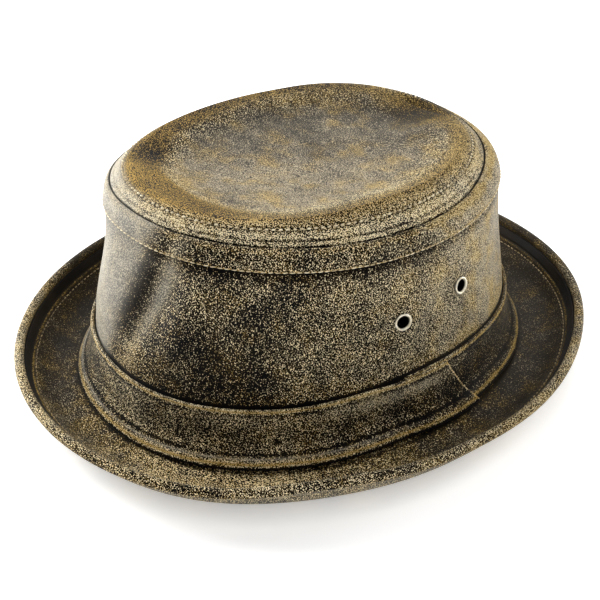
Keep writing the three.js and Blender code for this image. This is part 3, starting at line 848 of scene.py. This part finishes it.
def tip_paint(x, y, z):
    """Paint of the tip: golden round its crest, a painted grey sheen in its dish and a painted silvery
    sheen on a strip at the left, painted shade along the seam, in its dents and inside the crest, and a
    painted highlight just inside the seam.
    """
    depth = tip_depth(x, y)
    deg = np.degrees(np.arctan2(y, x))
    front = bell(turn(deg, -50), 75)
    left = bell(turn(deg, -114), 34)
    back = bell(turn(deg, 95), 80)
    # Painted silvery sheen on a strip along the left edge.
    strip = left * (1 - smoothstep(depth, 4.5, 10))
    ring = bell(depth - 12.5, 7.5) * (0.5 + 0.7 * bell(turn(deg, -130), 45))
    streak = bell(depth - 22, 5.5) * bell(turn(deg, -85), 30)
    # Painted grey sheen: the dish is blended to an even tone.
    dish = smoothstep(depth, 21, 34)
    # Painted shade and a gold tint in two dents of the dish.
    dimple = bell(np.hypot(x + 41, y + 59), 10)
    hollow = bell(np.hypot(x + 4, y - 76), 13)
    sides = 0.5 * front + 0.3 * bell(turn(deg, 30), 45) + 0.2 * left
    # Lighter just inside the seam: wear, and a painted highlight where the steep edge catches the light.
    rubbed = 0.1 * bell(depth - 0.9, 0.8) + 0.15 * bell(depth - 3.6, 1.4)
    stitched = 0.5 * bell(depth - TIP_STITCH_ROW, 1.2)
    # Painted shade inside the crest, more at the front.
    inner = 0.22 * smoothstep(depth, 15, 24) + 0.4 * bell(depth - 19, 4) * front
    # Painted shade along the seam's gap and its stitch groove.
    seam = 1.4 * bell(depth - SEAM_ROW, 0.35) * bell(turn(deg, -30), 55) + 1.2 * bell(depth, 0.3)
    patchy = 1 + 0.5 * uneven(x, y, z, 5, 21)
    return {
        "wear_and_light": sides + rubbed - stitched - inner - 0.1,
        "gold": 1.5 * ring + 1.1 * streak + 0.5 * dimple + 0.6 * hollow,
        "painted_shade": seam * patchy + 0.6 * (dimple + hollow) + 0.3 * bell(depth - 13, 5) * (0.4 + front),
        "calm": 0.8 * dish + 0.55 * back * (1 - dish) + 0.9 * strip,
        "glare": 0.15 * smoothstep(depth, 21, 40) + 0.85 * strip,
    }


def crown_tip():
    """Both faces of the tip, from its seam over the crest into the dish, each closed by a middle point."""
    angles = ROUND[:, None]
    last_place = len(TIP_ROWS) - 1
    shoulder = np.linspace(0, CREST_PLACE, 50)
    dish = np.linspace(CREST_PLACE, last_place, 38)[1:]
    upper = tip_point(angles, np.concatenate([shoulder, dish])[None, :])
    x, y, z = np.moveaxis(upper, -1, 0)
    depth = tip_depth(x, y)
    z -= 0.2 * bell(depth - SEAM_ROW, 0.4) + 0.35 * bell(depth - TIP_STITCH_ROW, 0.7)
    z += 0.3 * uneven(x, y, z, 24, 11) * smoothstep(depth, 3, 9)
    under = np.linspace(0, last_place, 16)
    lower = tip_point(angles, under[None, :])
    lower[..., 2] -= TIP_LEATHER + SEAM_ALLOWANCE * (1 - smoothstep(under, 4, CREST_PLACE))
    rows = upper.shape[1] + lower.shape[1]
    section = np.concatenate([upper, lower[:, ::-1]], 1)
    middle = upper[:, -1].mean(0)
    points = np.concatenate([section.reshape(-1, 3), [middle, middle - [0, 0, TIP_LEATHER]]])
    last = upper.shape[1] - 1
    faces = [f for f in grid_faces(rows, COLUMNS) if f[0] % rows != last]
    above = COLUMNS * rows
    for k in range(COLUMNS):
        here = k * rows + last
        after = (k + 1) % COLUMNS * rows + last
        faces.append([here, after, above])
        faces.append([after + 1, here + 1, above + 1])
    make("hat_crown_tip", points, faces, tip_leather, ("crown_tip",), tip_paint)


def row_on_tip(depth):
    """Closed line of points and outward directions on the tip, this far in from its seam."""
    places = np.linspace(0, CREST_PLACE, 400)
    reach = tip_depth(*np.moveaxis(tip_point(np.zeros_like(places), places), -1, 0)[:2])
    at = np.interp(depth, reach, places)
    further = at + 0.02
    return closed_row(tip_point(ROUND, np.full(COLUMNS, at)), tip_point(ROUND, np.full(COLUMNS, further)))


crown_tip()
tip_row = row_on_tip(TIP_STITCH_ROW)
tip_row[0][:, 2] -= 0.9 * bell(turn(np.degrees(ROUND), 85), 42)
stitches("tip_topstitch", tip_row, pale_thread,
         spacing=3.0, length=1.8, thick=0.9, sink=0.3, slant=0.12)
stitches("tip_seam_stitch", row_on_tip(SEAM_ROW), brown_thread,
         spacing=1.9, length=1.2, thick=0.36, sink=0.40)


# Stitching round the top of the wall
def wall_row():
    """Closed line of points and outward directions along the topstitching of the wall."""
    lower, higher = [ring_points(ROUND, fold_face(ROUND, np.full(COLUMNS, place)))
                     for place in (WALL_STITCH_PLACE, WALL_STITCH_PLACE + 0.75)]
    return closed_row(lower, higher)


stitches("wall_topstitch", wall_row(), pale_thread,
         spacing=3.0, length=2.4, thick=0.55, sink=0.15, slant=0.08)


# Hat band
def band_paint(x, y, z):
    """Paint of the band: painted highlights on its turned edges, painted sheen above the lip and on its
    upper face, its raw lapped end rubbed bright, and painted shade in its hollows and under the lip.
    """
    angle = np.arctan2(y, x)
    deg = np.degrees(angle)
    up = z - band_foot(angle)
    # Painted highlights on the turned top edge and the lip, which face up into the light, and a painted
    # sheen line (crest) above the lip.
    top = bell(up - BAND_HEIGHT + 0.3, 0.6)
    lip = bell(up - 1.5, 0.7)
    crest = bell(up - 3.3, 0.5) * (1 - smoothstep(np.abs(turn(deg, -105)), 75, 115))
    # Painted sheen on the band's upper face.
    shelf = bell(up - 19.5, 4) * bell(turn(deg, -8), 18)
    slant = BAND_END + BAND_SLANT * (1 - up / BAND_HEIGHT)
    end = bell(turn(deg, slant), 0.22)
    front = bell(turn(deg, -60), 45)
    right = bell(turn(deg, 40), 35) * (1 - top - lip)
    # Painted shade in the band's hollows, and black shade under its lip.
    hollows = 0.25 * bell(up - 12, 7) + 0.8 * bell(up - 4.7, 0.6) + 0.5 * bell(up - BAND_HEIGHT + 2.2, 0.8)
    under_lip = 1 - smoothstep(up, -0.2, 0.7)
    not_front = smoothstep(deg, 0, 40) + smoothstep(-deg, 95, 130)
    return {
        "wear_and_light": 0.6 * (top + lip + shelf) + 1.6 * end + 0.3 * front - 0.4 * right,
        "gold": 0.7 * top + 0.8 * (lip + end),
        "painted_shade": hollows + 1.5 * under_lip,
        "calm": 0.8 * crest + 0.45 * lip + 0.55 * top + 0.4 * (not_front + shelf),
        "glare": 0.5 * (crest + shelf) + 0.4 * bell(turn(deg, -132), 25),
    }


def hat_band():
    """One strip that goes round and laps over its own start, with closed ends."""
    travelled = np.linspace(0, 360 + BAND_LAP, 520)
    base = BAND_END - BAND_LAP + travelled
    lap = (BAND_LEATHER + GAP) * smoothstep(travelled, 360 - BAND_RAMP, 360)
    places = np.linspace(0, len(BAND_ROWS) - 1, 46)
    height = smooth_rows(BAND_ROWS, ("height",), places)[0]
    angles = np.radians(base[:, None] + BAND_SLANT * (1 - height[None, :]))
    outer = band_line(angles, np.broadcast_to(places, angles.shape), lap[:, None])
    outer[..., 0] += 0.22 * uneven(*np.moveaxis(ring_points(angles, outer), -1, 0), 26, 3)
    section = ply(outer, BAND_LEATHER)
    corner = (section.shape[1] - 2 * outer.shape[1]) // 2
    ends = [np.repeat(angles[:, -1:], corner, 1), np.repeat(angles[:, :1], corner, 1)]
    all_angles = np.concatenate([angles, ends[0], angles[:, ::-1], ends[1]], 1)
    points = ring_points(all_angles, section)
    columns, rows = points.shape[:2]
    faces = grid_faces(rows, columns, closed=False)
    count = outer.shape[1]
    last = (columns - 1) * rows
    mirrored = [rows - corner - 1 - i for i in range(count)]
    cap = [[i, i + 1, mirrored[i + 1], mirrored[i]] for i in range(count - 1)]
    cap.append([count - 1, *range(count, count + corner), mirrored[-1]])
    cap.append([mirrored[0], *range(rows - corner, rows), 0])
    for face in cap:
        faces.append(face)
        faces.append([last + v for v in reversed(face)])
    make("hat_band_strip", points.reshape(-1, 3), faces, band_leather, ("hat_band",),
         band_paint)


hat_band()


# Brim
def brim_upper_paint(x, y, z):
    """Paint of the upper ply: speckled and lighter at the front, darker and even elsewhere, where its shade
    is painted, with painted shade on its hem, along the crease and beside the band's lip.
    """
    angle = np.arctan2(y, x)
    curl = brim_wave(angle)[0]
    rise = z - UNDER_LEATHER - GAP - UPPER_LEATHER * np.cos(curl) - CURL_RADIUS * (1 - np.cos(curl))
    # Painted shade on the hem's inner face, along the crease and beside the band's lip.
    hem = smoothstep(rise, 0.6, 1.4)
    by_lip = bell(np.hypot(x, y) - oval_radius(angle) - BAND_FLARE - BAND_LEATHER - 0.2, 1.0)
    deg = np.degrees(angle)
    front = bell(turn(deg, -48), 54)
    return {
        # Away from the front the ply lies in shade, painted darker and even.
        "wear_and_light": 0.5 * bell(rise + 0.1, 0.35) + 1.35 * front * (1 - hem) - 0.9,
        "gold": 0.6 * bell(rise + 0.2, 0.8) + 0.5 * front,
        "painted_shade": 2.2 * hem + 1.6 * bell(rise - 0.8, 0.4) + 0.8 * by_lip,
        "calm": (0.75 - 0.75 * front) * (1 - 0.75 * hem),
    }


def brim_upper():
    """The upper ply, its shown face drawn in along its stitches and just past the crease."""
    line = brim_line(ROUND)[0]
    shown = offset_line(line, GAP + UPPER_LEATHER)
    step = np.linalg.norm(np.diff(line, axis=1), axis=2).cumsum(1)
    run = np.concatenate([np.zeros((COLUMNS, 1)), step], 1)
    inward = run[:, FLAT_POINTS + CURL_POINTS, None] - run
    sunk = 0.3 * bell(inward - CREASE_ROW, 0.8) - 0.12 * bell(inward, 0.45) + 0.5 * bell(inward + 0.8, 0.5)
    points = ring_points(ROUND[:, None], shown)
    swell = 0.25 * uneven(*np.moveaxis(points, -1, 0), 20, 8) * smoothstep(run, 14, 20)
    shown = shown - run_and_left(line)[1] * (sunk - swell)[..., None]
    section = np.concatenate([offset_line(line, GAP)[:, ::3], shown[:, ::-1]], 1)
    rows = section.shape[1]
    make("hat_brim_upper", ring_points(ROUND[:, None], section).reshape(-1, 3),
         grid_faces(rows, COLUMNS), brim_leather, ("brim_upper",), brim_upper_paint)


def brim_under_paint(x, y, z):
    """Paint of the under ply: speckled at the front, lighter at both sides, dark and even at the back."""
    deg = np.degrees(np.arctan2(y, x))
    front = bell(turn(deg, -50), 62)
    sides = bell(turn(deg, -112), 24) + bell(turn(deg, 22), 32)
    back = 1 - smoothstep(np.abs(turn(deg, 145)), 55, 85)
    return {
        "wear_and_light": 0.25 * front + 0.4 * sides - 0.3 - 0.75 * back,
        "gold": 0.5 * bell(z - 17, 3) + 0.9 * bell(z - 1, 4),
        "painted_shade": 0,
        "calm": 0.6 * (1 - front) + 0.25 * back,
    }


def brim_under():
    """The under ply, flat where the hat rests on it, with its roll round the edge."""
    line, curl = brim_line(ROUND)
    end = line[:, -1]
    outer = offset_line(line, -UNDER_LEATHER)
    outer[..., 1] = np.maximum(outer[..., 1], 0)
    radius = EDGE_ROLL / 2
    ahead = np.stack([np.cos(curl), np.sin(curl)], -1)
    side = np.stack([-np.sin(curl), np.cos(curl)], -1)
    centre = end + ahead * (radius + GAP) + side * (BRIM_THICKNESS / 2 - UNDER_LEATHER)
    turns = np.radians(np.linspace(-110, 110, 26))
    roll = np.stack([centre + radius * (ahead * math.cos(t) + side * math.sin(t)) for t in turns], 1)
    section = np.concatenate([outer[:, :-3], roll, line[:, ::-3]], 1)
    rows = section.shape[1]
    make("hat_brim_under", ring_points(ROUND[:, None], section).reshape(-1, 3),
         grid_faces(rows, COLUMNS), under_leather, ("brim_under",), brim_under_paint)


def brim_row(inward):
    """Closed line and outward directions on the brim's upper face, this far inside the crease."""
    curl, flat = brim_wave(ROUND)
    slope = curl - inward / CURL_RADIUS
    reach = CURL_RADIUS - GAP - UPPER_LEATHER
    place = np.stack([flat + reach * np.sin(slope), UNDER_LEATHER + CURL_RADIUS - reach * np.cos(slope)], -1)
    points = ring_points(ROUND, place)
    up = np.stack([-np.sin(slope) * np.cos(ROUND), -np.sin(slope) * np.sin(ROUND), np.cos(slope)], -1)
    return points, up


brim_upper()
brim_under()
stitches("brim_stitch", brim_row(CREASE_ROW), brown_thread,
         spacing=2.9, length=2.0, thick=0.55, sink=0.2)


# Eyelets
def eyelet(entry):
    """A rolled eyelet about its own axis, its flanges on both faces of the wall."""
    hole = EYELET_HOLE / 2
    flange = EYELET_FLANGE / 2
    barrel = hole + EYELET_METAL
    proud = EYELET_PROUD + GAP
    inside = -WALL_LEATHER - GAP
    profile = [[hole, inside - EYELET_METAL], [flange, inside - EYELET_METAL],
               [flange, inside], [barrel, inside], [barrel, 0.05]]
    middle = (hole + flange) / 2
    half = (flange - hole) / 2
    for a in np.linspace(0, math.pi, 13):
        profile.append([middle + half * math.cos(a), 0.1 + proud * math.sin(a) ** 0.8])
    profile.append([hole, -WALL_LEATHER / 2])
    sides = 48
    centre, out = eyelet_frame(entry)
    spin = out.to_track_quat("Z", "Y")
    points = []
    for k in range(sides):
        points += [around_axis(centre, spin, 2 * math.pi * k / sides, r, z) for r, z in profile]
    faces = grid_faces(len(profile), sides)

    def eyelet_paint(x, y, z):
        from_centre = np.stack([x - centre.x, y - centre.y, z - centre.z], -1)
        height = from_centre @ np.array(out)
        reach = np.sqrt(np.maximum((from_centre**2).sum(-1) - height**2, 0))
        # Painted shade: black down the bore, and darker towards the flange's outer edge.
        bore = (1 - smoothstep(reach, hole + 0.05, hole + 0.3)) * (1 - smoothstep(height, 0.1, 0.7))
        return {"painted_shade": bore + 0.75 * smoothstep(reach, flange - 0.3, flange)}

    make("hat_" + entry["name"], np.array([tuple(p) for p in points]), faces, nickel,
         (entry["name"],), eyelet_paint)


for entry in EYELETS:
    eyelet(entry)

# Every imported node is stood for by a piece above, and keeps a finish of its own.
for node, finish in (("crown_wall", wall_leather), ("crown_tip", tip_leather), ("hat_band", band_leather),
                     ("brim_upper", brim_leather), ("brim_under", under_leather),
                     ("eyelet_front", nickel), ("eyelet_back", nickel)):
    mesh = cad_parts[node].data
    mesh.materials.clear()
    mesh.materials.append(finish)


# Floor, lights and camera
def floor():
    """White paper that glows past the hat's foot and more in the distance, to show plain white."""
    half = 40.0
    mesh = bpy.data.meshes.new("studio_floor")
    mesh.from_pydata([(-half, -half, 0), (half, -half, 0), (half, half, 0), (-half, half, 0)],
                     [], [(0, 1, 2, 3)])
    ground = add_object("studio_floor", mesh)
    p = Painter("floor_paper")
    away = p.add("ShaderNodeVectorMath", {0: p.place}, operation="LENGTH").outputs["Value"]
    glow = p.plus(p.scale(away, 0.10, 0.12, 0.0, 0.42), p.scale(away, 1.0, 3.0, 0.0, 0.5))
    paper = p.finish((0.93, 0.93, 0.93), 0.9, Specular_IOR_Level=0.1,
                     Emission_Color=(1, 1, 1, 1), Emission_Strength=glow)
    mesh.materials.append(paper)


def set_up(thing, place, way):
    """Puts a lamp or a camera in its place, looking this way."""
    thing.location = place
    thing.rotation_mode = "QUATERNION"
    thing.rotation_quaternion = way.to_track_quat("-Z", "Y")


def soft_light(name, place, aim, width, height, watts):
    lamp = bpy.data.lights.new(name, "AREA")
    lamp.shape = "RECTANGLE"
    lamp.size = width
    lamp.size_y = height
    lamp.energy = watts
    set_up(add_object(name, lamp), place, aim - place)


# The photo's camera, in degrees, metres and pixels, with the sensor in millimetres
AZIMUTH = 52.58
ELEVATION = 33.6
DISTANCE = 0.6
FOCAL_PIXELS = 1183.9
IMAGE_PIXELS = 600
SENSOR = 36.0
AIM_ASIDE = -0.0018
AIM_HEIGHT = 0.02344


def sight(azimuth, elevation):
    """Direction from the hat towards a camera or light."""
    a, e = math.radians(azimuth), math.radians(elevation)
    return Vector((math.sin(a) * math.cos(e), -math.cos(a) * math.cos(e), math.sin(e)))


def camera():
    back = sight(AZIMUTH, ELEVATION)
    a = math.radians(AZIMUTH)
    right = Vector((math.cos(a), math.sin(a), 0))
    target = right * AIM_ASIDE + Vector((0, 0, AIM_HEIGHT))
    lens = bpy.data.cameras.new("photo_camera")
    lens.sensor_width = SENSOR
    lens.lens = FOCAL_PIXELS / IMAGE_PIXELS * SENSOR
    eye = add_object("photo_camera", lens)
    set_up(eye, target + back * DISTANCE, -back)
    bpy.context.scene.camera = eye


def studio():
    """A dim white world and four soft lights, their azimuths counted from the camera's."""
    world = bpy.data.worlds.new("studio")
    world.use_nodes = True
    background = world.node_tree.nodes["Background"]
    background.inputs["Color"].default_value = (1, 1, 1, 1)
    background.inputs["Strength"].default_value = 0.06
    bpy.context.scene.world = world
    heart = Vector((0, 0, 0.05))
    for name, azimuth, elevation, away, width, height, watts in (
        ("back_softbox", AZIMUTH + 180, 42, 1.3, 1.4, 0.9, 13),
        ("left_strip", AZIMUTH - 115, 14, 0.8, 0.4, 0.8, 14),
        ("right_strip", AZIMUTH + 112, 18, 1.0, 0.4, 0.8, 6),
        ("front_fill", AZIMUTH + 10, 62, 1.4, 1.2, 1.2, 9),
    ):
        soft_light(name, heart + sight(azimuth, elevation) * away, heart, width, height, watts)
    bpy.context.scene.view_settings.view_transform = "Standard"


floor()
studio()
camera()
